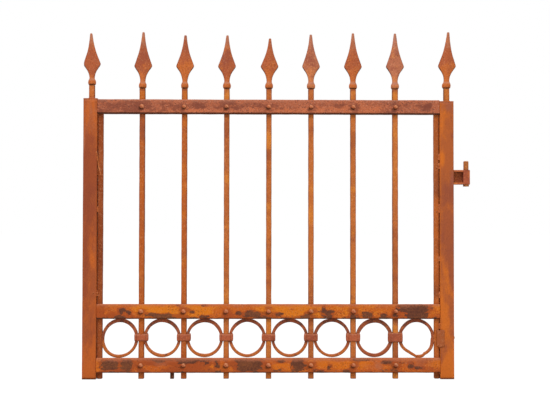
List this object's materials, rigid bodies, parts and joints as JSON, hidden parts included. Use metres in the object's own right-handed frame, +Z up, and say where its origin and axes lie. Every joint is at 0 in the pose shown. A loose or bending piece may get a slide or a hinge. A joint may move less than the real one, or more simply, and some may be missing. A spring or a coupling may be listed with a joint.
{
  "type": "wrought iron gate",
  "caption": "Rusty iron gate leaf: spear-topped square pickets riveted to flat rails, a row of collared rings between the lower rails, square end posts and a pin hinge.",
  "frame": {"origin": "on the hinge pin's axis, at the shoulder where the pin's free end starts", "axes": "+Z up along the hinge pin, +X from the latch side towards the hinge side, -Y towards the viewer"},
  "size_m": [1.0578, 0.0422, 0.9494],
  "materials": {
    "rust_post": "even brown-orange rust, pitted",
    "rust_rail": "flaking orange rust with dark scale left in patches",
    "rust_bar": "orange rust",
    "rust_spear": "red-brown rust over hammered facets",
    "rust_ring": "orange rust, worn at the contacts",
    "rust_collar": "purple-brown scale",
    "rust_rivet": "rust with rubbed crowns",
    "rust_hinge": "orange rust, dark in the recess",
    "rust_weld": "lumpy rusted weld metal"
  },
  "bodies": {
    "hinge_pin": {"hinge_pin": "rust_hinge"},
    "leaf": {"bottom_rail": "rust_rail", "bottom_rivets": "rust_rivet", "collar_1": "rust_collar", "collar_2": "rust_collar", "collar_3": "rust_collar", "collar_4": "rust_collar", "collar_5": "rust_collar", "collar_6": "rust_collar", "collar_7": "rust_collar", "hinge_block": "rust_hinge", "hinge_bracket": "rust_hinge", "left_inner_bar": "rust_bar", "left_post": "rust_post", "left_post_cap": "rust_post", "left_stem": "rust_bar", "left_welds": "rust_weld", "middle_rail": "rust_rail", "middle_rivets": "rust_rivet", "picket_1": "rust_bar", "picket_2": "rust_bar", "picket_3": "rust_bar", "picket_4": "rust_bar", "picket_5": "rust_bar", "picket_6": "rust_bar", "picket_7": "rust_bar", "right_inner_bar": "rust_bar", "right_post": "rust_post", "right_post_cap": "rust_post", "right_stem": "rust_bar", "right_welds": "rust_weld", "ring_1": "rust_ring", "ring_2": "rust_ring", "ring_3": "rust_ring", "ring_4": "rust_ring", "ring_5": "rust_ring", "ring_6": "rust_ring", "ring_7": "rust_ring", "ring_8": "rust_ring", "spear_1": "rust_spear", "spear_2": "rust_spear", "spear_3": "rust_spear", "spear_4": "rust_spear", "spear_5": "rust_spear", "spear_6": "rust_spear", "spear_7": "rust_spear", "spear_8": "rust_spear", "spear_9": "rust_spear", "stop_peg": "rust_bar", "tie_plate": "rust_weld", "top_rail": "rust_rail", "top_rivets": "rust_rivet"}
  },
  "joints": [
    {"name": "gate_swing", "type": "hinge", "parent": "hinge_pin", "child": "leaf", "pos_m": [0, 0, 0], "axis": [0, 0, 1], "range_deg": [-90, 90]}
  ]
}
